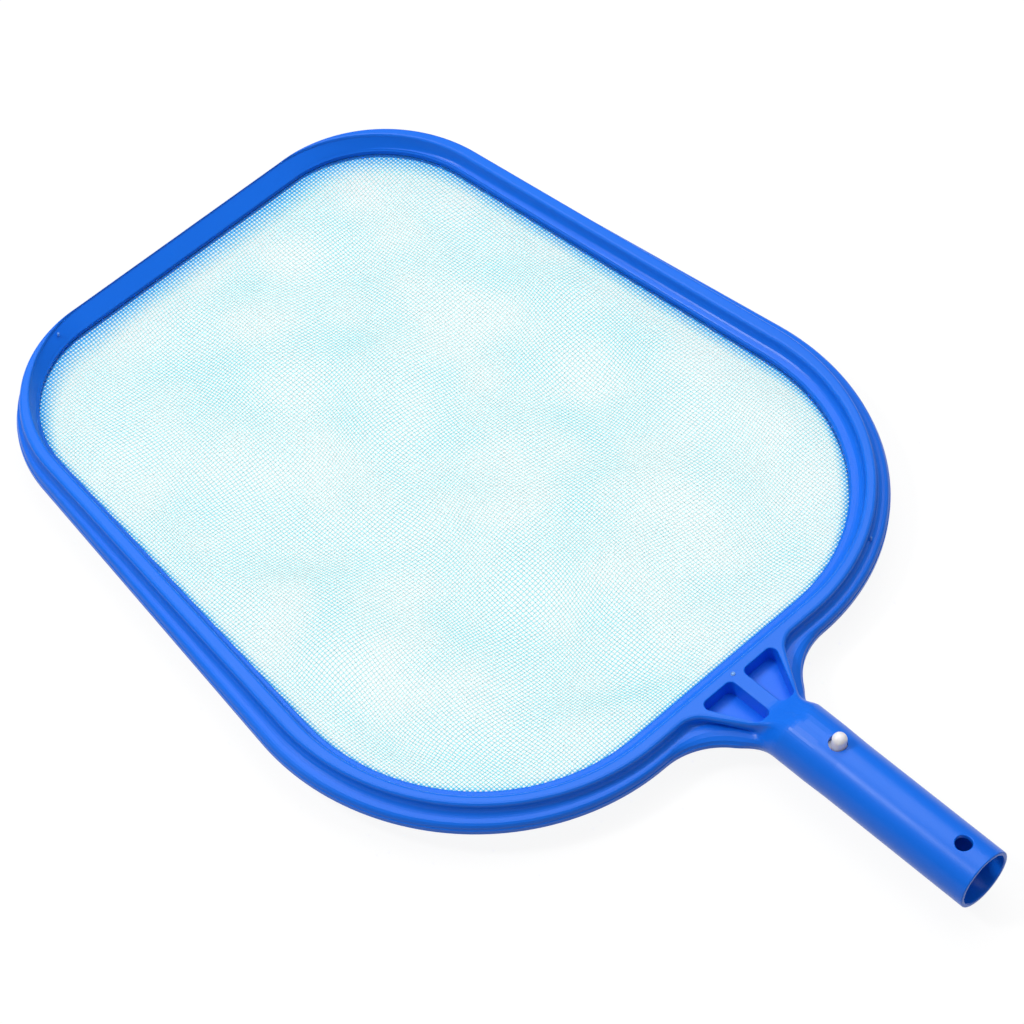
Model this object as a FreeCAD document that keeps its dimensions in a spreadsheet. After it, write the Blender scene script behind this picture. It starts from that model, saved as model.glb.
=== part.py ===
import FreeCAD
import Part
import Sketcher
import math
import os

from FreeCAD import Vector

# Leaf skimmer head for a swimming pool, lying flat with its open side up.
# X runs across the net, +Y towards its front edge, the pole tube points to -Y, +Z is up.
# The origin is under the part's middle, level with the tip of the lower lock button.
# Sizes are in millimetres.

NODE_FOLDER = "parts"
os.makedirs(NODE_FOLDER, exist_ok=True)
doc = FreeCAD.newDocument("leaf_skimmer")

# Driving dimensions

sheet = doc.addObject("Spreadsheet::Sheet", "Sizes")
DRIVING = [
    # Pole tube: a spigot that slides into a 29 mm pole and tightens on a slight taper at its root
    ("tube_radius", 14.3),
    ("root_radius", 14.6),
    ("tube_wall", 2.0),
    ("tube_axis_height", 20.6),
    ("tube_mouth_y", -246.6),
    ("taper_start_y", -170.4),
    ("tube_root_y", -158.0),
    ("tube_edge_round", 0.6),
    ("lock_hole_radius", 3.8),
    ("lock_hole_y", -233.7),
    ("hole_edge_round", 0.4),
    # Rim heights
    ("crest_height", 26.4),
    ("rim_depth", 12.0),
    ("crest_round", 1.6),
    ("crest_front_share", 0.5),
    ("cove_power", 2.6),
    ("outer_crown_drop", 6.3),
    ("outer_crown_share", 0.6),
    ("outer_lip_drop", 9.4),
    ("inner_crown_drop", 6.5),
    ("inner_crown_share", 0.85),
    ("inner_lip_drop", 7.1),
    ("lip_round", 0.4),
    # Outer edge of the crest, seen from above
    ("crest_front_y", 246.6),
    ("crest_front_x", 133.9),
    ("crest_front_radius", 68.2),
    ("crest_rear_radius", 106.6),
    ("crest_rear_x", 48.3),
    ("crest_rear_y", -1.1),
    # Outer edge of the lip below it
    ("lip_front_y", 245.8),
    ("lip_front_x", 138.2),
    ("lip_front_radius", 70.9),
    ("lip_rear_radius", 112.9),
    ("lip_rear_x", 49.6),
    ("lip_rear_y", -0.4),
    # Inner edge of the crest
    ("ridge_front_y", 244.6),
    ("ridge_front_x", 127.8),
    ("ridge_front_radius", 67.2),
    ("ridge_rear_radius", 97.3),
    ("ridge_rear_x", 51.2),
    ("ridge_rear_y", -4.1),
    # Inner lip, which holds the net
    ("inner_front_y", 238.4),
    ("inner_front_x", 124.0),
    ("inner_front_radius", 57.9),
    ("inner_rear_radius", 92.9),
    ("inner_rear_x", 50.2),
    ("inner_rear_y", -2.1),
    # Neck, from the rear of the rim to the tube
    ("neck_end_y", -149.0),
    ("neck_crest_half", 0.8),
    ("neck_crest_lean", 33.7),
    ("neck_crest_fillet", 12.0),
    ("neck_lip_fillet", 34.6),
    ("fairing_start_y", -127.0),
    ("fairing_side_y", -141.0),
    ("fairing_top_y", -149.0),
    ("fairing_steps", 20),
    ("fairing_edge_angle", 60.5),
    ("fairing_lip_angle", -18.0),
    ("fairing_foot_angle", -30.0),
    ("pocket_depth", 8.5),
    ("pocket_front_y", -107.0),
    ("pocket_rear_y", -130.7),
    ("pocket_inner_x", 3.4),
    ("pocket_front_x", 23.6),
    ("pocket_rear_x", 11.0),
    ("pocket_round", 3.0),
    ("pocket_edge_round", 0.5),
    # Hollow underside of the rim
    ("rim_wall", 1.9),
    ("rim_inner_wall", 3.4),
    ("rim_roof", 2.4),
    ("underside_lag", 1.2),
    ("underside_steps", 6),
    # Net
    ("net_drop", 9.9),
    ("net_thickness", 0.6),
    ("net_margin", 1.8),
    ("net_pitch", 17.6),
    ("net_bar", 3.6),
    ("net_border", 2.4),
    ("least_gap_share", 0.15),
    # Spring lock clip
    ("clip_bend_y", -214.0),
    ("clip_bend_radius", 3.7),
    ("clip_thickness", 1.4),
    ("clip_width", 8.0),
    ("clip_gap", 0.25),
    ("clip_seat_gap", 0.35),
    ("clip_arm_tail", 5.0),
    ("button_y", -165.0),
    ("button_radius", 3.3),
    ("button_rise", 6.3),
    ("button_dome", 3.0),
    ("button_hole_radius", 4.2),
    ("button_hole_shift", 0.6),
]
for row, (alias, value) in enumerate(DRIVING, start=1):
    sheet.set(f"A{row}", alias)
    sheet.set(f"B{row}", str(value))
    sheet.setAlias(f"B{row}", alias)
doc.recompute()


def size(alias):
    """A driving dimension, read back from the sheet."""
    return float(sheet.get(alias))


TUBE_R = size("tube_radius")
ROOT_R = size("root_radius")
AXIS_Z = size("tube_axis_height")
BORE_R = TUBE_R - size("tube_wall")
CREST = size("crest_height")
UNDER = CREST - size("rim_depth")
ROOT_Y = size("tube_root_y")
NECK_END_Y = size("neck_end_y")
CUT_OVER = 2.0
ROUND_STEPS = 3
COVE_STEPS = 7
CROWN_STEPS = 4
TOP_PARTS = 3
BASE_PARTS = 7
TINY = 0.01


# Outlines of the rim, seen from above
#
# Each is a rounded shape, wider at the rear, with a pair of corner arcs at the front and at the
# rear. An outer outline goes on into the neck through a pair of concave arcs, and the neck's
# sides lean in towards the tube.

class Neck:
    """Half the neck's width at its end, the lean of its sides, and the concave arcs."""

    def __init__(self, half, lean, fillet):
        self.half = half
        self.lean = lean
        self.fillet = fillet

    def grown(self, step):
        return Neck(self.half + step / math.cos(self.lean), self.lean, self.fillet - step)


class Shape:
    """The numbers of one outline: front line, front corner, rear corner, and neck if it has one."""

    def __init__(self, front_y, side_x, corner, rear, rear_x, rear_y, neck=None):
        self.front_y = front_y
        self.side_x = side_x
        self.corner = corner
        self.rear = rear
        self.rear_x = rear_x
        self.rear_y = rear_y
        self.neck = neck

    def grown(self, step):
        """The same outline, a step further out all round."""
        neck = self.neck.grown(step) if self.neck else None
        return Shape(self.front_y + step, self.side_x + step, self.corner + step,
                     self.rear + step, self.rear_x, self.rear_y, neck)

    def without_neck(self):
        return Shape(self.front_y, self.side_x, self.corner, self.rear, self.rear_x, self.rear_y)

    def rear_line(self):
        return self.rear_y - self.rear

    def neck_arc(self):
        """Centre of the concave arc between the rear line and the neck's side."""
        lean = self.neck.lean
        fillet = self.neck.fillet
        fy = self.rear_line() - fillet
        run = (fy + fillet * math.sin(lean) - NECK_END_Y) / math.cos(lean)
        fx = self.neck.half + run * math.sin(lean) + fillet * math.cos(lean)
        return fx, fy

    def neck_width(self, y):
        """Half the neck's width at one place along it."""
        fx, fy = self.neck_arc()
        fillet = self.neck.fillet
        if y > fy + fillet * math.sin(self.neck.lean):
            return fx - math.sqrt(fillet ** 2 - (y - fy) ** 2)
        return self.neck.half + max(0, y - NECK_END_Y) * math.tan(self.neck.lean)


def mix(first, second, front, side):
    """An outline between two others, by one share at the front line and another at the sides."""
    corner = (front + side) / 2
    neck = None

    def between(a, b, share):
        return a + (b - a) * share

    if first.neck:
        neck = Neck(between(first.neck.half, second.neck.half, side),
                    between(first.neck.lean, second.neck.lean, side),
                    between(first.neck.fillet, second.neck.fillet, side))
    return Shape(between(first.front_y, second.front_y, front),
                 between(first.side_x, second.side_x, side),
                 between(first.corner, second.corner, corner),
                 between(first.rear, second.rear, side),
                 between(first.rear_x, second.rear_x, side),
                 between(first.rear_y, second.rear_y, side), neck)


def on_circle(cx, cy, radius, angle):
    return (cx + radius * math.cos(angle), cy + radius * math.sin(angle))


def half_path(shape):
    """Points of the right half, from front to rear; an arc is (through, end), a line is (end,)."""
    cx = shape.side_x - shape.corner
    cy = shape.front_y - shape.corner
    rx = shape.rear_x
    ry = shape.rear_y
    gap = math.hypot(rx - cx, ry - cy)
    lean = math.atan2(ry - cy, rx - cx)
    side = lean + math.pi / 2 - math.asin((shape.corner - shape.rear) / gap)
    top = math.pi / 2
    down = -math.pi / 2
    rear_line = shape.rear_line()
    start = (cx, shape.front_y)
    moves = [
        (on_circle(cx, cy, shape.corner, (top + side) / 2), on_circle(cx, cy, shape.corner, side)),
        (on_circle(rx, ry, shape.rear, side),),
        (on_circle(rx, ry, shape.rear, (side + down) / 2), (rx, rear_line)),
    ]
    if shape.neck:
        fillet = shape.neck.fillet
        fx, fy = shape.neck_arc()
        side = math.pi - shape.neck.lean
        moves.append(((fx, rear_line),))
        moves.append((on_circle(fx, fy, fillet, (top + side) / 2), on_circle(fx, fy, fillet, side)))
        moves.append(((shape.neck.half, NECK_END_Y),))
    return start, moves


def outline(shape, z):
    """The closed wire of an outline at one height."""
    start, moves = half_path(shape)
    edges = []

    def point(p, sign):
        return Vector(sign * p[0], p[1], z)

    here = start
    right = []
    for move in moves:
        right.append((here, move))
        here = move[-1]
    for begin, move in right:
        edges.append(segment(point(begin, 1), [point(p, 1) for p in move]))
    edges.append(segment(point(here, 1), [point(here, -1)]))
    for begin, move in reversed(right):
        back = [point(p, -1) for p in list(move[:-1]) + [begin]]
        edges.append(segment(point(move[-1], -1), back))
    edges.append(segment(point(start, -1), [point(start, 1)]))
    return Part.Wire(edges)


def segment(begin, rest):
    if len(rest) == 2:
        return Part.Arc(begin, rest[0], rest[1]).toShape()
    return Part.LineSegment(begin, rest[0]).toShape()


CREST_NECK = Neck(size("neck_crest_half"), math.radians(size("neck_crest_lean")),
                  size("neck_crest_fillet"))
LIP_NECK = Neck(ROOT_R, 0, size("neck_lip_fillet"))


def outline_shape(name, neck=None):
    """The outline whose sizes have the given name in the sheet."""
    parts = ("front_y", "front_x", "front_radius", "rear_radius", "rear_x", "rear_y")
    return Shape(*[size(f"{name}_{part}") for part in parts], neck)


CREST_OUTER = outline_shape("crest", CREST_NECK)
LIP_OUTER = outline_shape("lip", LIP_NECK)
CREST_INNER = outline_shape("ridge")
LIP_INNER = outline_shape("inner")


def cove(side, upper, lower, sense):
    """Levels of one side of the rim, as (depth, outline), from the crest down to the lip's edge.

    The crest's edge is a round, less wide at the front, where the crest is narrow. Below it the
    wall drops steeply and turns out onto the lip, whose crown is level, and the lip's far side
    rounds down to its edge. At the front the wall is a plain slope.
    """
    edge = size("crest_round")
    narrow = size("crest_front_share")
    lip = size("lip_round")
    drop = size(f"{side}_lip_drop")
    crown = size(f"{side}_crown_drop")
    reach = size(f"{side}_crown_share")
    square = 2 / size("cove_power")
    start = mix(upper, upper.grown(-sense * edge), 1 - narrow, 0)
    top = mix(upper, upper.grown(-sense * edge), 1, 1)
    levels = []
    for step in range(ROUND_STEPS):
        turn = step * math.pi / 2 / ROUND_STEPS
        share = math.sin(turn)
        levels.append((edge * (1 - math.cos(turn)), mix(top, start, share, share)))
    profile = []
    for step in range(COVE_STEPS):
        turn = step * math.pi / 2 / COVE_STEPS
        profile.append((edge + (crown - edge) * math.sin(turn) ** square,
                        reach * (1 - math.cos(turn) ** square)))
    for step in range(CROWN_STEPS + 1):
        turn = step * math.pi / 2 / CROWN_STEPS
        profile.append((crown + (drop - crown) * (1 - math.cos(turn)),
                        reach + (1 - reach) * math.sin(turn)))
    for depth, share in profile:
        front = (depth - edge) / (drop - edge)
        levels.append((depth, mix(start, lower.grown(-sense * lip), front, share)))
    levels.append((drop + lip, lower))
    return levels


OUTER_LEVELS = cove("outer", CREST_OUTER, LIP_OUTER, 1)
INNER_LEVELS = cove("inner", CREST_INNER, LIP_INNER, -1)


def level_at(levels, depth):
    """The outline of a wall at any depth, between the two levels beside it."""
    for (d0, s0), (d1, s1) in zip(levels, levels[1:]):
        if d0 <= depth <= d1:
            share = (depth - d0) / (d1 - d0)
            return mix(s0, s1, share, share)
    return levels[-1][1]


def stack(levels):
    """A closed solid through outlines at given depths below the crest."""
    wires = [outline(shape, CREST - depth) for depth, shape in levels]
    return Part.makeLoft(wires, True, True)


# The rim with its neck plate, in one piece

body_levels = OUTER_LEVELS + [(size("rim_depth"), LIP_OUTER)]
void_levels = ([(-CUT_OVER, INNER_LEVELS[0][1])] + INNER_LEVELS
               + [(size("rim_depth") + CUT_OVER, LIP_INNER)])
rim = stack(body_levels).cut(stack(void_levels))

# Hollow underside: it follows both walls, one wall's thickness in

thin = size("rim_wall")
thick = size("rim_inner_wall")
lag = size("underside_lag")
steps = int(size("underside_steps"))
roof = size("rim_roof")
mouth_depth = size("rim_depth") + CUT_OVER
hollow_out = []
hollow_in = []
for step in range(steps + 1):
    depth = roof + (mouth_depth - roof) * step / steps
    lagged = depth - lag
    wall = thin + (thick - thin) * min(1, lagged / (size("inner_lip_drop") - lag))
    hollow_out.append((depth, level_at(OUTER_LEVELS, lagged).without_neck().grown(-thin)))
    hollow_in.append((depth, level_at(INNER_LEVELS, lagged).grown(wall)))
hollow_core = [(roof - CUT_OVER, hollow_in[0][1])] + hollow_in
hollow_core[-1] = (mouth_depth + CUT_OVER, hollow_in[-1][1])
hollow = stack(hollow_out).cut(stack(hollow_core))

# The hollow stops a wall's thickness short of the pockets in the neck's top

block_x = size("pocket_front_x") + thin
block_y = size("pocket_front_y") + thin
block_z = UNDER - 2 * CUT_OVER
block = Part.makeBox(2 * block_x, block_y - ROOT_Y, CREST - block_z, Vector(-block_x, ROOT_Y, block_z))
rim = rim.cut(hollow.cut(block))

# Slot in the inner lip for the net's margin

net_low = CREST - size("net_drop") - size("net_thickness") / 2
net_face = Part.Face(outline(LIP_INNER.grown(size("net_margin")), net_low))
net_blank = net_face.extrude(Vector(0, 0, size("net_thickness")))
rim = rim.cut(net_blank)


# The neck: the plate's section turns step by step into the tube's circle

def neck_section(y):
    """The right half of the plate's section at one place, from the top's middle to the underside's."""
    plate = [(shape.neck_width(y), CREST - depth) for depth, shape in OUTER_LEVELS]
    foot = (plate[-1][0], UNDER)
    top = [(plate[0][0] * i / TOP_PARTS, CREST) for i in range(TOP_PARTS)]
    base = [(foot[0] * (1 - i / BASE_PARTS), UNDER) for i in range(1, BASE_PARTS + 1)]
    return top + plate + [foot] + base


def circle_section():
    """The points of the tube's right half that the plate's points move to."""
    edge = size("fairing_edge_angle")
    lip = size("fairing_lip_angle")
    foot = size("fairing_foot_angle")
    last = len(OUTER_LEVELS) - 1
    angles = [90 + (edge - 90) * i / TOP_PARTS for i in range(TOP_PARTS)]
    angles += [edge + (lip - edge) * i / last for i in range(last + 1)]
    angles += [foot + (-90 - foot) * i / BASE_PARTS for i in range(BASE_PARTS + 1)]
    return [on_circle(0, AXIS_Z, ROOT_R, math.radians(angle)) for angle in angles]


def fairing_ends():
    """Where along the neck each point reaches the circle: the sides first, the middles last."""
    side_y = size("fairing_side_y")
    middle_y = size("fairing_top_y")
    last = len(OUTER_LEVELS) - 1
    crest = 0.5
    leads = [crest * i / TOP_PARTS for i in range(TOP_PARTS)]
    leads += [crest + (1 - crest) * i / last for i in range(last + 1)]
    leads += [1 - i / BASE_PARTS for i in range(BASE_PARTS + 1)]
    return [middle_y + (side_y - middle_y) * lead for lead in leads]


def neck_fairing():
    """A solid from the plate, at the fairing's start, to the tube's root."""
    start = size("fairing_start_y")
    steps = int(size("fairing_steps"))
    target = circle_section()
    ends = fairing_ends()
    wires = []
    for step in range(steps + 1):
        y = start + (ROOT_Y - start) * step / steps
        right = []
        for (px, pz), (cx, cz), end in zip(neck_section(y), target, ends):
            along = min(1, (y - start) / (end - start))
            share = along * along * (3 - 2 * along)
            right.append(Vector(px + (cx - px) * share, y, pz + (cz - pz) * share))
        left = [Vector(-p.x, p.y, p.z) for p in reversed(right[1:-1])]
        ring = right + left
        wires.append(Part.makePolygon(ring + [ring[0]]))
    return Part.makeLoft(wires, True, True)


def rounded(points, radius):
    """A closed face through points, each corner an arc of one radius."""
    count = len(points)
    ends = []
    for i in range(count):
        here = Vector(*points[i])
        before = (Vector(*points[i - 1]) - here).normalize()
        after = (Vector(*points[(i + 1) % count]) - here).normalize()
        half = before.getAngle(after) / 2
        reach = radius / math.tan(half)
        centre = here + (before + after).normalize() * (radius / math.sin(half))
        near = centre + (here - centre).normalize() * radius
        ends.append((here + before * reach, near, here + after * reach))
    edges = []
    for i in range(count):
        edges.append(Part.Arc(*ends[i]).toShape())
        edges.append(Part.LineSegment(ends[i][2], ends[(i + 1) % count][0]).toShape())
    return Part.Face(Part.Wire(edges))


def pocket_face(sign, spread, z):
    """A pocket's rounded outline, spread by a margin, at one height."""
    inner = size("pocket_inner_x") - spread
    front = size("pocket_front_y") + spread
    rear = size("pocket_rear_y") - spread
    slope = math.atan2(size("pocket_front_x") - size("pocket_rear_x"),
                       size("pocket_front_y") - size("pocket_rear_y"))
    wider = spread / math.cos(slope)
    reach = spread * math.tan(slope)
    corners = [
        (sign * inner, front, z),
        (sign * (size("pocket_front_x") + wider + reach), front, z),
        (sign * (size("pocket_rear_x") + wider - reach), rear, z),
        (sign * inner, rear, z),
    ]
    return rounded(corners, size("pocket_round") + spread)


def pocket(sign):
    """One of the two recesses in the neck's top, with a rounded edge."""
    edge = size("pocket_edge_round")
    levels = [(0, CREST - size("pocket_depth")), (0, CREST - edge)]
    levels.append((edge * (1 - math.cos(math.pi / 4)), CREST - edge * (1 - math.sin(math.pi / 4))))
    levels.append((edge, CREST))
    levels.append((edge, CREST + CUT_OVER))
    wires = [pocket_face(sign, spread, z).OuterWire for spread, z in levels]
    return Part.makeLoft(wires, True, True)


# Solids that are computed from the sheet's values

def stretch(x0, x1, y0, y1):
    """The rim's stretch between two x and two y values."""
    low = UNDER - CUT_OVER
    box = Part.makeBox(x1 - x0, y1 - y0, CREST + CUT_OVER - low, Vector(x0, y0, low))
    return rim.common(box)


def feature(name, shape):
    """A document object that holds one computed solid under its node's name."""
    solids = shape.Solids
    if len(solids) == 1:
        shape = solids[0]
    item = doc.addObject("Part::Feature", name)
    item.Label = name
    item.Shape = shape.removeSplitter()
    item.Placement = FreeCAD.Placement()
    return item


FAR = 300.0
front_x = CREST_OUTER.side_x - CREST_OUTER.corner
front_y = CREST_OUTER.front_y - CREST_OUTER.corner
rear_x = CREST_OUTER.rear_x
rear_y = CREST_OUTER.rear_y
STRETCHES = {
    "front_rim_bar": (-front_x, front_x, front_y, FAR),
    "front_left_corner": (-FAR, -front_x, front_y, FAR),
    "front_right_corner": (front_x, FAR, front_y, FAR),
    "left_side_rail": (-FAR, 0, rear_y, front_y),
    "right_side_rail": (0, FAR, rear_y, front_y),
    "rear_left_corner": (-FAR, -rear_x, -FAR, rear_y),
    "rear_right_corner": (rear_x, FAR, -FAR, rear_y),
}
nodes = {}
for name, span in STRETCHES.items():
    nodes[name] = feature(name, stretch(*span))

plate = stretch(-rear_x, rear_x, size("fairing_start_y"), rear_y)
neck = plate.fuse(neck_fairing())
for side in (-1, 1):
    neck = neck.cut(pocket(side))
nodes["neck_web"] = feature("neck_web", neck)


# The net: one flat sheet with square gaps, its margin in the rim's slot

def net_gaps():
    """Outlines of the gaps, on a square grid clipped to the space inside the rim."""
    pitch = size("net_pitch")
    gap = pitch - size("net_bar")
    clear = Part.Face(outline(LIP_INNER.grown(-size("net_border")), net_low))
    box = clear.BoundBox
    columns = int(box.XLength / pitch)
    rows = int(box.YLength / pitch)
    left = -columns * pitch / 2 + (pitch - gap) / 2
    front = box.YMin + (box.YLength - rows * pitch) / 2 + (pitch - gap) / 2
    wires = []
    for i in range(columns):
        for j in range(rows):
            square = Part.makePlane(gap, gap, Vector(left + i * pitch, front + j * pitch, net_low))
            for face in square.common(clear).Faces:
                if face.Area > size("least_gap_share") * gap * gap:
                    wires.append(face.OuterWire)
    return wires


gaps = net_gaps()
holes = Part.makeCompound([Part.Face(wire) for wire in gaps])
net_sheet = net_face.cut(holes).extrude(Vector(0, 0, size("net_thickness")))
nodes["net_mesh"] = feature("net_mesh", net_sheet)


# The pole tube: a rod with a slight taper at its root, bored through, with a pair of lock holes
# near the mouth and a pair of button holes near the root

def origin_plane(body, role):
    return [f for f in body.Origin.OriginFeatures if f.Role == role][0]


def sketch_on(body, role, name):
    sketch = body.newObject("Sketcher::SketchObject", name)
    sketch.AttachmentSupport = [(origin_plane(body, role), "")]
    sketch.MapMode = "FlatFace"
    return sketch


def add_circle(sketch, height, radius, height_rule, radius_rule):
    """A circle on the sketch's vertical axis, whose height and radius follow the sheet."""
    circle = Part.Circle(Vector(0, height, 0), Vector(0, 0, 1), radius)
    index = sketch.addGeometry(circle, False)
    sketch.addConstraint(Sketcher.Constraint("PointOnObject", index, 3, -2))
    wide = sketch.addConstraint(Sketcher.Constraint("Radius", index, radius))
    high = sketch.addConstraint(Sketcher.Constraint("DistanceY", -1, 1, index, 3, height))
    sketch.setExpression(f"Constraints[{wide}]", radius_rule)
    sketch.setExpression(f"Constraints[{high}]", height_rule)


tube = doc.addObject("PartDesign::Body", "pole_tube")
tube.Label = "pole_tube"
disc = sketch_on(tube, "XZ_Plane", "tube_disc")
disc.setExpression(".AttachmentOffset.Base.z", "-Sizes.taper_start_y")
add_circle(disc, AXIS_Z, TUBE_R, "Sizes.tube_axis_height", "Sizes.tube_radius")
barrel = tube.newObject("PartDesign::Pad", "tube_barrel")
barrel.Profile = disc
barrel.setExpression("Length", "Sizes.taper_start_y - Sizes.tube_mouth_y")
doc.recompute()

taper = tube.newObject("PartDesign::AdditiveCone", "tube_taper")
taper.AttachmentSupport = [(origin_plane(tube, "XZ_Plane"), "")]
taper.MapMode = "FlatFace"
taper.setExpression(".AttachmentOffset.Base.y", "Sizes.tube_axis_height")
taper.setExpression(".AttachmentOffset.Base.z", "-Sizes.tube_root_y")
taper.setExpression("Radius1", "Sizes.root_radius")
taper.setExpression("Radius2", "Sizes.tube_radius")
taper.setExpression("Height", "Sizes.tube_root_y - Sizes.taper_start_y")
doc.recompute()

rod_volume = taper.Shape.Volume
throat = sketch_on(tube, "XZ_Plane", "tube_throat")
add_circle(throat, AXIS_Z, BORE_R, "Sizes.tube_axis_height", "Sizes.tube_radius - Sizes.tube_wall")
bored = tube.newObject("PartDesign::Pocket", "tube_bore")
bored.Profile = throat
bored.Type = "ThroughAll"
bored.Midplane = True
doc.recompute()

hole_y = size("button_y") + size("button_hole_shift")
punch = sketch_on(tube, "XY_Plane", "cross_holes")
add_circle(punch, size("lock_hole_y"), size("lock_hole_radius"),
           "Sizes.lock_hole_y", "Sizes.lock_hole_radius")
add_circle(punch, hole_y, size("button_hole_radius"),
           "Sizes.button_y + Sizes.button_hole_shift", "Sizes.button_hole_radius")
cross = tube.newObject("PartDesign::Pocket", "cross_drilling")
cross.Profile = punch
cross.Type = "ThroughAll"
cross.Midplane = True
doc.recompute()

bored_volume = bored.Shape.Volume
print("tube", round(rod_volume), "bored", round(bored_volume), "drilled", round(cross.Shape.Volume))
if bored_volume > rod_volume - TINY or cross.Shape.Volume > bored_volume - TINY:
    raise RuntimeError("the bore or the cross holes cut nothing")


def mouth_edge(edge):
    return abs(edge.BoundBox.YMax - size("tube_mouth_y")) < TINY


def lock_hole_edge(edge):
    """The lock holes' edges on the tube's outside, which reach its full radius."""
    box = edge.BoundBox
    reach = max(abs(box.ZMax - AXIS_Z), abs(box.ZMin - AXIS_Z))
    near = abs(box.Center.y - size("lock_hole_y")) < TINY
    round_it = abs(box.YLength - 2 * size("lock_hole_radius")) < size("hole_edge_round")
    return near and round_it and reach > TUBE_R - TINY


def round_edges(name, base, test, rule):
    """A fillet on every edge that passes the test."""
    names = [f"Edge{n}" for n, edge in enumerate(base.Shape.Edges, start=1) if test(edge)]
    print(name, len(names), "edges")
    fillet = tube.newObject("PartDesign::Fillet", name)
    fillet.Base = (base, names)
    fillet.setExpression("Radius", rule)
    tube.Tip = fillet
    doc.recompute()
    return fillet


mouth = round_edges("mouth_round", cross, mouth_edge, "Sizes.tube_edge_round")
round_edges("lock_hole_round", mouth, lock_hole_edge, "Sizes.hole_edge_round")
nodes["pole_tube"] = tube


# The spring lock clip: a bend that faces the mouth, and two arms with round buttons

BEND_Y = size("clip_bend_y")
BEND_R = size("clip_bend_radius")
STRIP = size("clip_thickness")
HALF_WIDTH = size("clip_width") / 2
arm_reach = size("button_y") - BEND_Y
seat = math.sqrt(BORE_R ** 2 - HALF_WIDTH ** 2)
tail_reach = arm_reach + size("clip_arm_tail")
tail_height = seat - STRIP / 2 - size("clip_seat_gap")
arm_lean = math.atan2(tail_height - BEND_R, tail_reach)

bend_outer = doc.addObject("Part::Cylinder", "bend_outer")
bend_outer.setExpression("Radius", "Sizes.clip_bend_radius + Sizes.clip_thickness / 2")
bend_inner = doc.addObject("Part::Cylinder", "bend_inner")
bend_inner.setExpression("Radius", "Sizes.clip_bend_radius - Sizes.clip_thickness / 2")
for piece in (bend_outer, bend_inner):
    piece.setExpression("Height", "Sizes.clip_width")
    piece.setExpression("Placement.Base.x", "-Sizes.clip_width / 2")
    piece.setExpression("Placement.Base.y", "Sizes.clip_bend_y")
    piece.setExpression("Placement.Base.z", "Sizes.tube_axis_height")
    piece.Placement.Rotation = FreeCAD.Rotation(Vector(0, 1, 0), 90)
bend_ring = doc.addObject("Part::Cut", "bend_ring")
bend_ring.Base = bend_outer
bend_ring.Tool = bend_inner
bend_half = doc.addObject("Part::Box", "bend_half")
bend_half.setExpression("Length", "Sizes.clip_width * 2")
bend_half.setExpression("Width", "Sizes.clip_bend_radius * 2")
bend_half.setExpression("Height", "Sizes.clip_bend_radius * 4")
bend_half.setExpression("Placement.Base.x", "-Sizes.clip_width")
bend_half.setExpression("Placement.Base.y", "Sizes.clip_bend_y - Sizes.clip_bend_radius * 2")
bend_half.setExpression("Placement.Base.z", "Sizes.tube_axis_height - Sizes.clip_bend_radius * 2")
bend = doc.addObject("Part::Common", "lock_clip_bend")
bend.Label = "lock_clip_bend"
bend.Base = bend_ring
bend.Tool = bend_half
nodes["lock_clip_bend"] = bend


def clip_arm(name, side):
    """One arm of the clip with its button; side is 1 above the tube's axis and -1 below."""
    arm = doc.addObject("Part::Box", name + "_strip")
    arm.setExpression("Length", "Sizes.clip_width")
    arm.setExpression("Height", "Sizes.clip_thickness")
    arm.Width = tail_reach / math.cos(arm_lean) - size("clip_gap")
    turn = FreeCAD.Rotation(Vector(1, 0, 0), side * math.degrees(arm_lean))
    start = Vector(-HALF_WIDTH, size("clip_gap"), -STRIP / 2)
    pivot = Vector(0, BEND_Y, AXIS_Z + side * BEND_R)
    arm.Placement = FreeCAD.Placement(pivot + turn.multVec(start), turn)
    stem_base = BEND_R + arm_reach * math.tan(arm_lean)
    shoulder = TUBE_R + size("button_rise") - size("button_dome")
    stem = doc.addObject("Part::Cylinder", name + "_stem")
    stem.setExpression("Radius", "Sizes.button_radius")
    stem.Height = shoulder - stem_base
    dome = doc.addObject("Part::Ellipsoid", name + "_dome")
    dome.setExpression("Radius1", "Sizes.button_dome")
    dome.setExpression("Radius2", "Sizes.button_radius")
    dome.setExpression("Radius3", "Sizes.button_radius")
    dome.Angle1 = 0
    dome.Angle2 = 90
    base = Vector(0, size("button_y"), AXIS_Z + side * stem_base)
    head = Vector(0, size("button_y"), AXIS_Z + side * shoulder)
    flip = FreeCAD.Rotation(Vector(1, 0, 0), 0 if side > 0 else 180)
    stem.Placement = FreeCAD.Placement(base, flip)
    dome.Placement = FreeCAD.Placement(head, flip)
    joined = doc.addObject("Part::MultiFuse", name)
    joined.Label = name
    joined.Shapes = [arm, stem, dome]
    joined.Refine = True
    return joined


nodes["upper_lock_button"] = clip_arm("upper_lock_button", 1)
nodes["lower_lock_button"] = clip_arm("lower_lock_button", -1)
doc.recompute()


# Checks before anything is written

for item in doc.Objects:
    if "Invalid" in item.State or "Error" in item.State:
        raise RuntimeError(f"{item.Name} failed: {item.State}")
for name, item in nodes.items():
    shape = item.Shape
    if shape.isNull() or not shape.isValid() or not shape.Solids:
        raise RuntimeError(f"{name} has no valid solid")
    box = shape.optimalBoundingBox(False)
    print(f"{name:20s} solids {len(shape.Solids)} volume {shape.Volume:9.1f}",
          f"x {box.XMin:.1f}..{box.XMax:.1f} y {box.YMin:.1f}..{box.YMax:.1f}",
          f"z {box.ZMin:.2f}..{box.ZMax:.2f}")
print("net gaps", len(gaps), "arm lean", round(math.degrees(arm_lean), 2), "bore", BORE_R)

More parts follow.
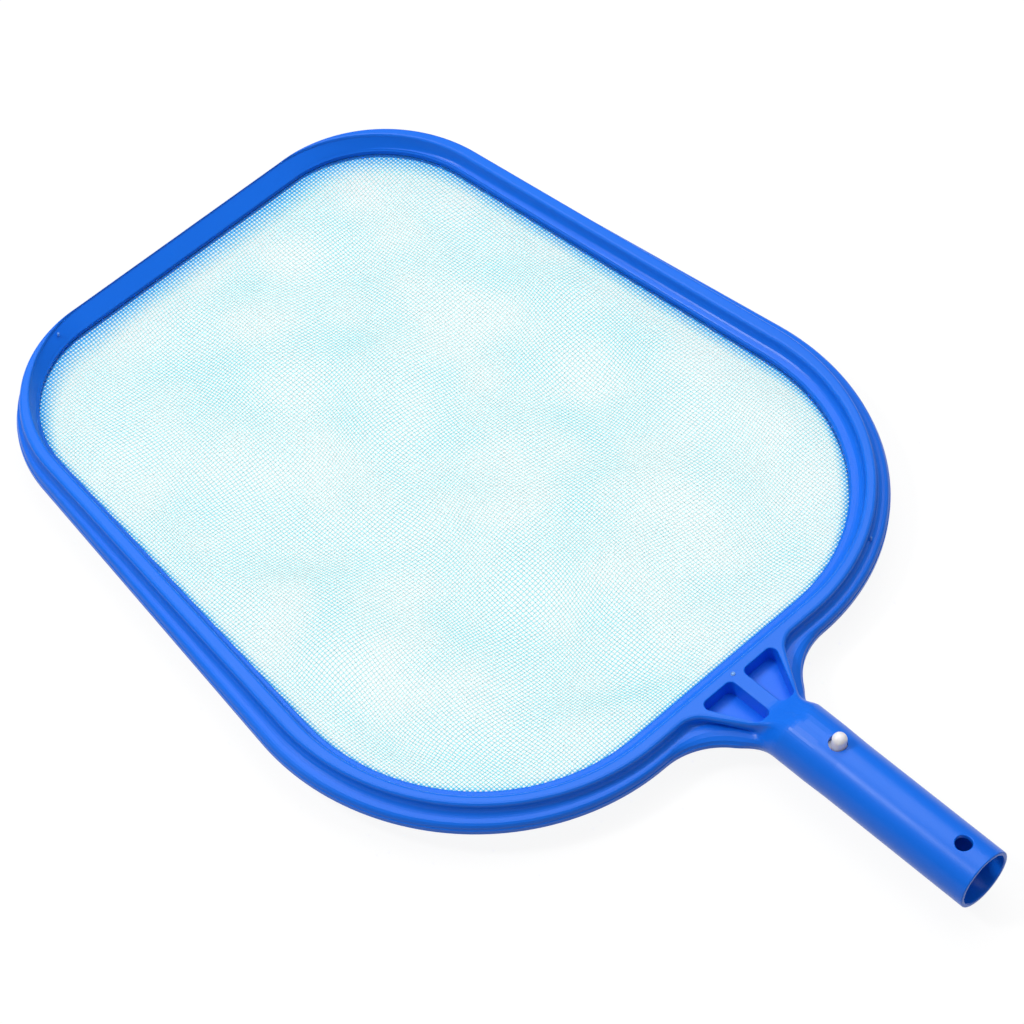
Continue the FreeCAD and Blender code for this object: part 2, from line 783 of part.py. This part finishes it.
for name, item in nodes.items():
    item.Shape.exportStep(os.path.join(NODE_FOLDER, name + ".step"))
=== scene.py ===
# %% [markdown]
# # A leaf skimmer net for a pool
#
# The real thing is one blue moulding, a rim with a tube for a pole, that holds a fine pale net.
# A white spring clip inside the tube shows as a round button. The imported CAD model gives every
# rigid shape at its true size, so this lesson adds what CAD leaves out: the woven net, thread by
# thread, the finish of each plastic, and a plain studio around it all.

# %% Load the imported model
import bpy
import math
import numpy as np
from mathutils import Matrix, Vector


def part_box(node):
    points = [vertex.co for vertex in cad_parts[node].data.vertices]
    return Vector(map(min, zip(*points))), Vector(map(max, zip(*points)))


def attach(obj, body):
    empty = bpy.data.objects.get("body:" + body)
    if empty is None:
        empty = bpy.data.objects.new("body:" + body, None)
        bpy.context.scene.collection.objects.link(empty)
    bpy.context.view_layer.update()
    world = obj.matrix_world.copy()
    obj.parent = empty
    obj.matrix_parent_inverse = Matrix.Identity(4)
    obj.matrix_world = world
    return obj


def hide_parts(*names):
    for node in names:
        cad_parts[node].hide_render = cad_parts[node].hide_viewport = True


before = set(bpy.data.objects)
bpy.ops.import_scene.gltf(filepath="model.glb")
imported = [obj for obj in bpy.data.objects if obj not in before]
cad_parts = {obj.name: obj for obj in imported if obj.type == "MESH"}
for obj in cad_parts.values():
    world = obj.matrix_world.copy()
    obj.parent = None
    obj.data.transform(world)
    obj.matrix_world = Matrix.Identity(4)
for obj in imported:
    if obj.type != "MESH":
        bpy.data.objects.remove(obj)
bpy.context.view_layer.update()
scene = bpy.context.scene
print("CAD nodes:", sorted(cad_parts))

# %% [markdown]
# ## The camera
#
# The picture was taken from in front and to the left, looking steeply down with a long lens.
# Place, angles and lens were found by laying the rim's outline and the tube over the picture. The
# answer is a plain three-quarter view: the camera faces halfway between +X and +Y and is level,
# and only its pitch and its distance had to be measured.

# %% Camera
CAMERA_PLACE = Vector((-0.74115, -0.71357, 1.38663))
CAMERA_YAW = math.radians(45.0)
CAMERA_PITCH = math.radians(52.601)
LENS_MM = 137.47
SENSOR_MM = 36.0


def camera_turn(yaw, pitch):
    """The rotation of a level camera that faces from +Y towards +X by yaw and down by pitch."""
    ahead = Vector((math.sin(yaw) * math.cos(pitch), math.cos(yaw) * math.cos(pitch), -math.sin(pitch)))
    right = Vector((math.cos(yaw), -math.sin(yaw), 0))
    return Matrix((right, right.cross(ahead), -ahead)).transposed()


camera_data = bpy.data.cameras.new("camera")
camera_data.lens = LENS_MM
camera_data.sensor_width = SENSOR_MM
camera = bpy.data.objects.new("camera", camera_data)
camera.matrix_world = Matrix.Translation(CAMERA_PLACE) @ camera_turn(CAMERA_YAW, CAMERA_PITCH).to_4x4()
scene.collection.objects.link(camera)
scene.camera = camera
print("camera at", tuple(round(v, 4) for v in camera.location), "lens", LENS_MM)

# %% [markdown]
# ## Small helpers for materials
#
# Each finish below is a Principled shader with a few procedural nodes in front of it. One small
# class keeps the shader with its node tree. Its methods add a node, set or link a socket and make
# the patterns that come up again, so that each finish reads as a list of what it does.

# %% Material helpers


class Finish:
    """A new material whose nodes are added one by one in front of its Principled shader."""

    def __init__(self, name):
        self.material = bpy.data.materials.new(name)
        self.material.use_nodes = True
        self.tree = self.material.node_tree
        self.shader = self.tree.nodes["Principled BSDF"]

    def add(self, kind, inputs=None, **settings):
        """Adds a node, with its settings, and its inputs set by name to values or linked sockets."""
        node = self.tree.nodes.new(kind)
        for key, value in settings.items():
            setattr(node, key, value)
        for key, value in (inputs or {}).items():
            self.feed(node.inputs[key], value)
        return node

    def feed(self, socket, value):
        """Sets a socket to a value, or links another node's output to it."""
        if isinstance(value, bpy.types.NodeSocket):
            self.tree.links.new(value, socket)
        else:
            socket.default_value = value

    def shade(self, **inputs):
        """Sets the shader's own sockets; an underscore in a name stands for a space."""
        for key, value in inputs.items():
            self.feed(self.shader.inputs[key.replace("_", " ")], value)

    def noise(self, vector, scale, detail=2.0, roughness=0.5):
        """A noise pattern's grey output."""
        node = self.add("ShaderNodeTexNoise",
                        {"Vector": vector, "Scale": scale, "Detail": detail, "Roughness": roughness})
        return node.outputs["Fac"]

    def spread(self, value, low, high):
        """A pattern from 0 to 1, stretched to the range between low and high."""
        node = self.add("ShaderNodeMapRange", {"Value": value, "To Min": low, "To Max": high})
        return node.outputs["Result"]

    def mixed(self, share, first, second):
        """A colour between two others."""
        node = self.add("ShaderNodeMix", data_type="RGBA")
        self.feed(node.inputs[0], share)
        self.feed(node.inputs[6], first)
        self.feed(node.inputs[7], second)
        return node.outputs[2]


def dress(node_names, finish):
    """Gives CAD nodes a finish in place of the plain one they were packed with."""
    for name in node_names:
        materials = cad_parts[name].data.materials
        materials.clear()
        materials.append(finish.material)
    print(finish.material.name, "on", len(node_names), "nodes")


# %% [markdown]
# ## Blue moulded plastic
#
# The rim and tube are injection moulded in blue polypropylene: a strong even colour right through,
# a satin skin, and a surface that is never quite flat. Noise at four sizes gives it that. A broad
# one moves the colour a little, as pigment does as it flows into the mould, two middle ones make
# the gloss uneven and the walls wave a little, and a fine one is the skin's grain. Coordinates are
# the object's own, which for these nodes is the part's frame, so that the pattern runs on from one
# node to the next.

# %% Blue plastic
BLUE = (0.005, 0.168, 0.84, 1.0)
BLUE_DEEP = (0.004, 0.145, 0.78, 1.0)

BLUE_SATIN = (0.26, 0.37)
PIGMENT_SCALE = 14.0
GLOSS_SCALE = 60.0
SHRINK_SCALE = 45.0
SKIN_SCALE = 2200.0

blue = Finish("blue_moulding")
blue_place = blue.add("ShaderNodeTexCoord").outputs["Object"]
pigment = blue.noise(blue_place, PIGMENT_SCALE, detail=3.0)
gloss_patches = blue.noise(blue_place, GLOSS_SCALE, detail=4.0)
skin_grain = blue.noise(blue_place, SKIN_SCALE, detail=2.0)
shrink = blue.noise(blue_place, SHRINK_SCALE, detail=1.0)
blue_bump = blue.add("ShaderNodeBump", {"Height": skin_grain, "Strength": 0.05, "Distance": 0.0002})
blue_wave = blue.add("ShaderNodeBump", {"Height": shrink, "Strength": 0.10, "Distance": 0.001,
                                        "Normal": blue_bump.outputs["Normal"]})
blue.shade(Base_Color=blue.mixed(pigment, BLUE, BLUE_DEEP),
           Roughness=blue.spread(gloss_patches, *BLUE_SATIN),
           Normal=blue_wave.outputs["Normal"])
blue.shader.inputs["IOR"].default_value = 1.45
blue.shader.inputs["Specular IOR Level"].default_value = 0.30

BLUE_NODES = ["front_rim_bar", "front_left_corner", "front_right_corner", "left_side_rail",
              "right_side_rail", "rear_left_corner", "rear_right_corner", "neck_web", "pole_tube"]
dress(BLUE_NODES, blue)

# %% [markdown]
# ## White spring clip
#
# The clip is a strip of white acetal, bent double, with a round button on each arm. It is the same
# kind of finish in a faintly warm white, with a coarser grain, and light sinks a few millimetres
# into it before it comes out again, which softens the button's shaded side.

# %% White plastic
WHITE = (0.88, 0.85, 0.88, 1.0)
WHITE_WARM = (0.84, 0.80, 0.82, 1.0)

WHITE_SATIN = (0.28, 0.42)
TINT_SCALE = 90.0
SHEEN_SCALE = 150.0
GRAIN_SCALE = 1800.0

white = Finish("white_clip")
white_place = white.add("ShaderNodeTexCoord").outputs["Object"]
white_bump = white.add("ShaderNodeBump", {"Height": white.noise(white_place, GRAIN_SCALE),
                                          "Strength": 0.06, "Distance": 0.0002})
white_tint = white.noise(white_place, TINT_SCALE, detail=3.0)
white_sheen = white.noise(white_place, SHEEN_SCALE, detail=4.0)
white.shade(Base_Color=white.mixed(white_tint, WHITE, WHITE_WARM),
            Roughness=white.spread(white_sheen, *WHITE_SATIN),
            Normal=white_bump.outputs["Normal"])
white.shader.inputs["Subsurface Weight"].default_value = 0.5
white.shader.inputs["Subsurface Radius"].default_value = (0.0030, 0.0026, 0.0024)
white.shader.inputs["Subsurface Scale"].default_value = 1.0

CLIP_NODES = ["lock_clip_bend", "upper_lock_button", "lower_lock_button"]
dress(CLIP_NODES, white)

# %% [markdown]
# ## The net's outline
#
# The net is cut to the rim's inner edge, with a margin that the moulding grips. That edge is a
# rounded shape around four corner circles: two small ones in front and two large ones behind. How
# far a point lies inside such a shape is easy to ask: for each direction, take the furthest of the
# four circles, subtract how far the point already is, and keep the least answer. The same question
# tells how near the rim a point lies, and there the band it asks about is wider at the far edges.

# %% Net outline
MM = 0.001
net_low, net_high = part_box("net_mesh")
NET_Z = (net_low[2] + net_high[2]) / 2
FRONT_RADIUS = 57.9 * MM
REAR_RADIUS = 92.9 * MM
GRIP = 1.2 * MM
FRONT_CENTRE = (66.1 * MM, 180.5 * MM)
REAR_CENTRE = (50.2 * MM, -2.1 * MM)
DIRECTION_STEP = 1.5
CORNER_CIRCLES = [(side * x, y, radius) for side in (-1, 1)
                  for (x, y), radius in ((FRONT_CENTRE, FRONT_RADIUS), (REAR_CENTRE, REAR_RADIUS))]
DIRECTIONS = np.radians(np.arange(0, 360, DIRECTION_STEP))
# The band is wide at the front and right, where the rim's shadow falls on the net; it sets the painted
# shadow on the threads and how much they widen.
NARROW_BAND = 4.0 * MM
WIDE_BAND = 14.0 * MM
WIDE_TOWARDS = math.radians(70.0)


def depths(x, y):
    """Each direction, with how far every point lies from the rim's inner edge on that side."""
    for angle in DIRECTIONS:
        nx, ny = math.cos(angle), math.sin(angle)
        reach = max(cx * nx + cy * ny + radius for cx, cy, radius in CORNER_CIRCLES)
        yield angle, reach - (x * nx + y * ny)


def depth_inside(x, y):
    """How far inside the rim's inner edge each point lies; less than 0 is outside."""
    return np.min([depth for angle, depth in depths(x, y)], axis=0)


def rim_shadow_band(x, y):
    """1 at the rim's inner edge, fading to 0 over a band that is wide at the front and right, where the
    rim's shadow falls on the net.
    """
    near = np.zeros(np.shape(x))
    for angle, depth in depths(x, y):
        width = NARROW_BAND + (WIDE_BAND - NARROW_BAND) * max(0, math.cos(angle - WIDE_TOWARDS))
        near = np.maximum(near, 1 - depth / width)
    return np.clip(near, 0, 1)


print("net plane at", round(NET_Z, 5), "depth at the middle", float(depth_inside(0.0, 0.07)))

# %% [markdown]
# ## How the net lies
#
# A net that was clamped slack is never flat. It hangs a couple of millimetres in the middle, its
# threads wander a little in its plane, and it ripples where the moulding pulled it unevenly. All
# of that is a few long waves added up. They fade out towards the rim, where the net is held.

# %% Net surface
FADE = 28.0 * MM
SAG = 2.2 * MM
HEIGHT_WAVES = [(92, 25, 0.4, 0.75), (61, 112, 2.0, 0.50), (38, 68, 4.1, 0.28), (47, 160, 5.2, 0.30)]
ACROSS_WAVES = [(130, 75, 1.1, 2.60), (68, 20, 2.6, 1.40), (43, 140, 0.2, 0.60)]
ALONG_WAVES = [(115, 8, 0.7, 2.60), (62, 125, 5.0, 1.50), (41, 50, 3.3, 0.70)]


def ripple(x, y, waves):
    """The sum of some waves, each (length in mm, direction in degrees, phase, size in mm)."""
    total = 0.0
    for length, direction, phase, size in waves:
        angle = math.radians(direction)
        along = x * math.cos(angle) + y * math.sin(angle)
        total = total + size * MM * np.sin(2 * math.pi * along / (length * MM) + phase)
    return total


def lie(x, y):
    """Where the net's flat point (x, y) lies in space."""
    held = np.clip(depth_inside(x, y) / FADE, 0, 1)
    free = held * held * (3 - 2 * held)
    return np.stack([x + free * ripple(x, y, ACROSS_WAVES),
                     y + free * ripple(x, y, ALONG_WAVES),
                     NET_Z + free * (ripple(x, y, HEIGHT_WAVES) - SAG)], axis=-1)


# %% [markdown]
# ## Weaving
#
# The mesh is a plain weave of thin monofilament, sixteen threads to the inch. The long threads,
# the warp, are stretched nearly straight on the loom, and the cross threads, the weft, do the
# weaving: they dip under one warp thread and climb over the next, and the next weft thread does
# the opposite. So a warp thread needs only a point now and then, and a weft thread has one at each
# crossing. Each thread is a closed tube of four sides, which smooth shading makes round.
#
# Beside the rim the threads are flatter and wider, and most so at the front and right: there, with their
# deeper colour, they close up into a painted shadow of the rim.

# %% Weave helpers
PITCH = 1.6 * MM
THREAD_WIDTH = 0.30 * MM
THREAD_HEIGHT = 0.27 * MM
CRIMP = 0.19 * MM
RIM_FLATTENED = 2.4
WARP_STEP = 3
SIDES = 4
SEARCH_HALF = 0.25
SEARCH_POINTS = 2001


def thread_span(fixed, along_y):
    """Where a thread of the flat net starts and ends, inside the rim's grip, or None."""
    places = np.linspace(-SEARCH_HALF, SEARCH_HALF, SEARCH_POINTS)
    flat = np.full_like(places, fixed)
    depth = depth_inside(flat, places) if along_y else depth_inside(places, flat)
    inside = places[depth > -GRIP]
    return (inside[0], inside[-1]) if len(inside) > 1 else None


def thread_rings(path, near):
    """The four corners of a thread's section at each point; it is flatter and wider near the rim."""
    ahead = np.gradient(path, axis=0)
    ahead /= np.linalg.norm(ahead, axis=1)[:, None]
    side = np.cross(ahead, (0.0, 0.0, 1.0))
    side /= np.linalg.norm(side, axis=1)[:, None]
    half_side = side * (THREAD_WIDTH / 2 * (1 + RIM_FLATTENED * near))[:, None]
    half_over = np.cross(side, ahead) * THREAD_HEIGHT / 2
    return np.stack([path - half_side - half_over, path + half_side - half_over,
                     path + half_side + half_over, path - half_side + half_over], axis=1)


def grid_lines(low, high):
    """The places of an even number of threads at one pitch, set out evenly from the middle."""
    count = 2 * int((high - low) / PITCH / 2)
    middle = (low + high) / 2
    return middle + PITCH * (np.arange(count) - (count - 1) / 2)


# %% [markdown]
# ## Laying the threads
#
# Every thread is found as a path over the net's surface with a ring of four corners at each point.
# The warp comes first. Then each weft thread takes the places of the warp threads that it crosses,
# goes over and under them by turns, and gets one more point on the middle line.

# %% Threads
warp_places = grid_lines(net_low[0], net_high[0])
weft_places = grid_lines(net_low[1], net_high[1])
threads = []

for x in warp_places:
    span = thread_span(x, along_y=True)
    if span:
        steps = max(2, round((span[1] - span[0]) / (PITCH * WARP_STEP)) + 1)
        y = np.linspace(span[0], span[1], steps)
        across = np.full_like(y, x)
        near = rim_shadow_band(across, y)
        threads.append((across, near, thread_rings(lie(across, y), near)))
warp_count = len(threads)

for number, y in enumerate(weft_places):
    span = thread_span(y, along_y=False)
    if span:
        crossed = warp_places[(warp_places > span[0]) & (warp_places < span[1])]
        turn = np.nonzero(warp_places > span[0])[0][0] + number
        lift = np.where((np.arange(len(crossed)) + turn) % 2, CRIMP, -CRIMP)
        right = np.count_nonzero(crossed < 0)
        x = np.r_[span[0], crossed[:right], 0.0, crossed[right:], span[1]]
        along = np.full_like(x, y)
        near = rim_shadow_band(x, along)
        path = lie(x, along)
        path[:, 2] += np.r_[0, lift[:right], 0, lift[right:], 0]
        threads.append((x, near, thread_rings(path, near)))
print("warp threads", warp_count, "weft threads", len(threads) - warp_count)

# %% [markdown]
# ## Two halves of one net
#
# So many threads make a heavy mesh, so the net is kept as a left and a right half. A weft thread
# has a point exactly on the middle line, and both halves use the same ring of corners there, so
# no seam shows. The first helper joins a thread's rings into a closed tube with its UV map.

# %% Thread tube


def tube_faces(rings, first):
    """The four-sided tube through some rings, its last two faces a flat lid on each end."""
    rows = len(rings)
    row, edge = np.meshgrid(np.arange(rows - 1), np.arange(SIDES), indexing="ij")
    a = first + row * SIDES + edge
    b = first + row * SIDES + (edge + 1) % SIDES
    faces = np.stack([b, a, a + SIDES, b + SIDES], axis=-1).reshape(-1, 4)
    lid = first + np.arange(SIDES)
    lids = np.stack([lid, (lid + (rows - 1) * SIDES)[::-1]])
    u = np.stack([(edge + 1) / SIDES, edge / SIDES, edge / SIDES, (edge + 1) / SIDES], axis=-1)
    middles = rings.mean(axis=1)
    run = np.r_[0, np.cumsum(np.linalg.norm(np.diff(middles, axis=0), axis=1))] / PITCH
    v = np.stack([run[row], run[row], run[row + 1], run[row + 1]], axis=-1)
    uvs = np.concatenate([np.stack([u, v], axis=-1).reshape(-1, 2), np.zeros((2 * SIDES, 2))])
    return rings.reshape(-1, 3), np.concatenate([faces, lids]), uvs


# %% [markdown]
# The second helper gathers the tubes of one half into one mesh. Every corner also carries how near
# the rim it lies, which the finish uses for the painted shadow of the rim. The tubes are shaded smooth
# and their lids flat.

# %% Net halves


def half_net(name, sense):
    """The part of the net on one side of the middle line, as one object."""
    points, faces, uvs, tints, smooth = [], [], [], [], []
    first = 0
    for x, near, rings in threads:
        here = x * sense >= 0
        if np.count_nonzero(here) > 1:
            tube, tube_quads, tube_uvs = tube_faces(rings[here], first)
            points.append(tube)
            faces.append(tube_quads)
            uvs.append(tube_uvs)
            tints.append(np.repeat(near[here], SIDES))
            smooth.append(np.arange(len(tube_quads)) < len(tube_quads) - 2)
            first += len(tube)
    data = bpy.data.meshes.new(name)
    data.from_pydata(np.concatenate(points).tolist(), [], np.concatenate(faces).tolist())
    uv_layer = data.uv_layers.new(name="thread")
    uv_layer.data.foreach_set("uv", np.concatenate(uvs).astype(np.float32).ravel())
    rim_shadow_layer = data.attributes.new("rim_shadow_band", "FLOAT", "POINT")
    rim_shadow_layer.data.foreach_set("value", np.concatenate(tints).astype(np.float32))
    data.polygons.foreach_set("use_smooth", np.concatenate(smooth))
    half = bpy.data.objects.new(name, data)
    scene.collection.objects.link(half)
    print(name, "faces", len(data.polygons))
    return half


net_halves = [half_net("woven_net_left", -1), half_net("woven_net_right", 1)]

# %% [markdown]
# ## The thread's finish
#
# Monofilament nylon in a pale ice blue. The UV map runs once round the thread and once a pitch
# along it, so a slanted wave in it is a twist. A broad noise in object space lets the tint come
# and go across the net. The band attribute on every corner deepens it to a strong blue beside the
# moulding: that is painted shade, the rim's shadow on the net tinted by blue light off the rim.

# %% Net finish
ICE = (0.48, 0.94, 1.0, 1.0)
ICE_PALE = (0.70, 0.98, 1.0, 1.0)
ICE_IN_RIM_SHADOW = (0.06, 0.50, 0.95, 1.0)

TWIST_SLANT = math.radians(35)
PATCH_SCALE = 26.0
PATCH_RANGE = (0.35, 0.65)
RIM_SHADOW_FALL = 1.1

thread = Finish("net_thread")
thread_place = thread.add("ShaderNodeTexCoord").outputs["Object"]
thread_uv = thread.add("ShaderNodeUVMap", uv_map="thread").outputs["UV"]
slanted = thread.add("ShaderNodeMapping", {"Vector": thread_uv, "Rotation": (0, 0, TWIST_SLANT),
                                           "Scale": (2.0, 1.0, 1.0)}).outputs["Vector"]
twist = thread.add("ShaderNodeTexWave", {"Vector": slanted, "Scale": 3.0, "Distortion": 0.6})
thread_bump = thread.add("ShaderNodeBump", {"Height": twist.outputs["Fac"],
                                            "Strength": 0.25, "Distance": 0.00005})
patch_noise = thread.noise(thread_place, PATCH_SCALE, detail=3.0)
patches = thread.add("ShaderNodeMapRange", {"Value": patch_noise, "From Min": PATCH_RANGE[0],
                                            "From Max": PATCH_RANGE[1]}).outputs["Result"]
# Painted shade: the band attribute mixes in a strong blue, the rim's shadow on the net tinted by light
# off the blue rim.
rim_shadow_value = thread.add("ShaderNodeAttribute", attribute_name="rim_shadow_band").outputs["Fac"]
rim_shadow_share = thread.add("ShaderNodeMath", {0: rim_shadow_value, 1: RIM_SHADOW_FALL}, operation="POWER").outputs["Value"]
thread_tint_and_rim_shadow = thread.mixed(rim_shadow_share, thread.mixed(patches, ICE, ICE_PALE), ICE_IN_RIM_SHADOW)
thread.shade(Base_Color=thread_tint_and_rim_shadow, Roughness=0.25, Normal=thread_bump.outputs["Normal"])
thread.shader.inputs["IOR"].default_value = 1.03
thread.shader.inputs["Transmission Weight"].default_value = 0.85

for half in net_halves:
    half.data.materials.append(thread.material)
    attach(half, "skimmer_head")
    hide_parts("net_mesh")

# %% [markdown]
# ## Moulding marks
#
# Three small pale nubs are left where the plastic was fed into the mould: one on the crest in
# front of the neck's pockets, one on the front slope and one in the hollow of a rear corner. Each
# starts as a short cylinder. Its top is dished, a stub is raised in the dish, where the feed was
# snapped off, and every sharp edge is rolled over.

# %% Moulding marks
NUB_COLOUR = (0.22, 0.44, 0.90, 1.0)
NUB_COLOUR_DULL = (0.10, 0.32, 0.88, 1.0)
NUBS = [("gate_mark_neck", (-0.7, -105.7, 26.35), (1.15, 0.95, 0.35)),
        ("gate_mark_front", (-78.4, 240.7, 24.0), (0.55, 0.55, 0.8)),
        ("gate_mark_corner", (97.0, -97.3, 22.3), (0.5, 0.5, 1.0))]

nub_finish = Finish("stressed_plastic")
nub_place = nub_finish.add("ShaderNodeTexCoord").outputs["Object"]
nub_grain = nub_finish.noise(nub_place, 1500.0, detail=3.0)
nub_bump = nub_finish.add("ShaderNodeBump", {"Height": nub_grain, "Strength": 0.3, "Distance": 0.0001})
nub_finish.shade(Base_Color=nub_finish.mixed(nub_grain, NUB_COLOUR, NUB_COLOUR_DULL), Roughness=0.35,
                 Normal=nub_bump.outputs["Normal"])

NUB_CORNERS = 24
SHARP_EDGE = math.radians(40)
STUB_RING = 0.34 * MM
STUB_DISH = 0.30 * MM
STUB_SIDE = 0.10 * MM
STUB_RISE = 0.45 * MM
NUB_EDGE = 0.16 * MM


def select_top(nub):
    """Selects only the nub's highest face, in edit mode."""
    bpy.ops.object.mode_set(mode="EDIT")
    bpy.ops.mesh.select_mode(type="FACE")
    bpy.ops.mesh.select_all(action="DESELECT")
    bpy.ops.object.mode_set(mode="OBJECT")
    max(nub.data.polygons, key=lambda face: face.center.z).select = True
    bpy.ops.object.mode_set(mode="EDIT")


for nub_name, place, radii in NUBS:
    bpy.ops.object.select_all(action="DESELECT")
    bpy.ops.mesh.primitive_cylinder_add(vertices=NUB_CORNERS, radius=MM, depth=2 * MM)
    nub = bpy.context.active_object
    nub.name = nub_name
    select_top(nub)
    bpy.ops.mesh.inset(thickness=STUB_RING, depth=-STUB_DISH)
    bpy.ops.mesh.inset(thickness=STUB_SIDE, depth=STUB_RISE)
    bpy.ops.mesh.select_all(action="DESELECT")
    bpy.ops.mesh.edges_select_sharp(sharpness=SHARP_EDGE)
    bpy.ops.mesh.bevel(offset=NUB_EDGE, segments=3, affect="EDGES")
    bpy.ops.object.mode_set(mode="OBJECT")
    nub.data.transform(Matrix.Translation(Vector(place) * MM) @ Matrix.Diagonal((*radii, 1)))
    bpy.ops.object.shade_smooth()
    nub.data.materials.append(nub_finish.material)
    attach(nub, "skimmer_head")
    print(nub_name, "at", place, "faces", len(nub.data.polygons))

# %% [markdown]
# ## The studio floor
#
# A plain pale floor carries the part's soft shadow. The camera sees it nearly white, straight or
# through the net, because there it glows and reflects only a little. To every other ray it is a
# mid grey, so that it throws little light up into the rim's hollow flanks. The Light Path node
# tells the two cases apart.

# %% Floor
FLOOR_HALF = 4.0
FLOOR_GLOW = 0.91
FLOOR_SEEN = (0.10, 0.10, 0.10, 1)
FLOOR_PLAIN = (0.48, 0.48, 0.48, 1)


def node(tree, kind, **inputs):
    """A new node of a tree, with its inputs set by name."""
    made = tree.nodes.new(kind)
    for key, value in inputs.items():
        made.inputs[key.replace("_", " ")].default_value = value
    return made


def seen_directly(tree):
    """1 for what the camera sees, straight or through a glossy or clear surface, and otherwise 0."""
    path = node(tree, "ShaderNodeLightPath")
    any_ray = path.outputs["Is Camera Ray"]
    for name in ("Is Glossy Ray", "Is Transmission Ray"):
        either = node(tree, "ShaderNodeMath")
        either.operation = "MAXIMUM"
        tree.links.new(any_ray, either.inputs[0])
        tree.links.new(path.outputs[name], either.inputs[1])
        any_ray = either.outputs[0]
    return any_ray


def choose(tree, share, first, second):
    """A shader that is the first one where the share is 0 and the second one where it is 1."""
    mix = node(tree, "ShaderNodeMixShader")
    tree.links.new(share, mix.inputs[0])
    tree.links.new(first.outputs[0], mix.inputs[1])
    tree.links.new(second.outputs[0], mix.inputs[2])
    return mix.outputs[0]


bpy.ops.object.select_all(action="DESELECT")
bpy.ops.mesh.primitive_plane_add(size=2 * FLOOR_HALF, location=(0, 0, 0))
floor = bpy.context.active_object
floor.name = "studio_floor"

floor_material = bpy.data.materials.new("studio_floor")
floor_material.use_nodes = True
floor_tree = floor_material.node_tree
floor_tree.nodes.clear()
floor_plain = node(floor_tree, "ShaderNodeBsdfDiffuse", Color=FLOOR_PLAIN)
floor_seen = node(floor_tree, "ShaderNodeBsdfDiffuse", Color=FLOOR_SEEN)
floor_glow = node(floor_tree, "ShaderNodeEmission", Strength=FLOOR_GLOW)
floor_white = node(floor_tree, "ShaderNodeAddShader")
floor_tree.links.new(floor_seen.outputs[0], floor_white.inputs[0])
floor_tree.links.new(floor_glow.outputs[0], floor_white.inputs[1])
floor_out = node(floor_tree, "ShaderNodeOutputMaterial")
floor_tree.links.new(choose(floor_tree, seen_directly(floor_tree), floor_plain, floor_white),
                     floor_out.inputs["Surface"])
floor.data.materials.append(floor_material)
print("floor", FLOOR_HALF * 2, "m across")

# %% [markdown]
# ## The sky
#
# The world is a grey sky, paler overhead than at the horizon. It gives what faces up about a third
# of its light and what faces sideways less, so the rim's flanks stay deeper than its crest. To the
# camera itself the sky is white.

# %% World
SKY_HIGH = 0.42
SKY_LOW = 0.18
WHITE_LIGHT = (1, 1, 1, 1)
world = bpy.data.worlds.new("studio_world")
scene.world = world
world.use_nodes = True
sky = world.node_tree
sky.nodes.clear()
sky_place = node(sky, "ShaderNodeTexCoord")
sky_split = node(sky, "ShaderNodeSeparateXYZ")
sky_rise = node(sky, "ShaderNodeMapRange", To_Min=SKY_LOW, To_Max=SKY_HIGH)
sky_light = node(sky, "ShaderNodeBackground", Color=WHITE_LIGHT)
sky_white = node(sky, "ShaderNodeBackground", Color=WHITE_LIGHT)
sky_path = node(sky, "ShaderNodeLightPath")
sky_out = node(sky, "ShaderNodeOutputWorld")
sky.links.new(sky_place.outputs["Generated"], sky_split.inputs[0])
sky.links.new(sky_split.outputs["Z"], sky_rise.inputs["Value"])
sky.links.new(sky_rise.outputs[0], sky_light.inputs["Strength"])
sky.links.new(choose(sky, sky_path.outputs["Is Camera Ray"], sky_light, sky_white),
              sky_out.inputs["Surface"])
print("sky from", SKY_LOW, "to", SKY_HIGH)

# %% [markdown]
# ## The lamps
#
# One broad lamp, high up beyond the right side, gives most of the light. A smaller one stands high
# on the left, where the tube's upper flank mirrors it towards the camera, and draws the soft
# streak along the tube.

# %% Lamps


def soft_lamp(name, place, aim, size, power):
    """A square area lamp at a place, turned towards a point."""
    data = bpy.data.lights.new(name, "AREA")
    data.size = size
    data.energy = power
    lamp = bpy.data.objects.new(name, data)
    lamp.location = place
    lamp.rotation_euler = (Vector(aim) - Vector(place)).to_track_quat("-Z", "Y").to_euler()
    scene.collection.objects.link(lamp)
    print(name, "size", size, "m, power", power, "W")


soft_lamp("overhead_softbox", (0.45, 0.42, 1.80), (0, 0.02, 0), 1.5, 21.0)
soft_lamp("streak_softbox", (-0.87, 0.64, 1.50), (0, -0.18, 0.02), 0.30, 14.0)

# %% [markdown]
# ## Finish
#
# Colours render as they are written, with no film look.

# %% Finish
scene.view_settings.view_transform = "Standard"
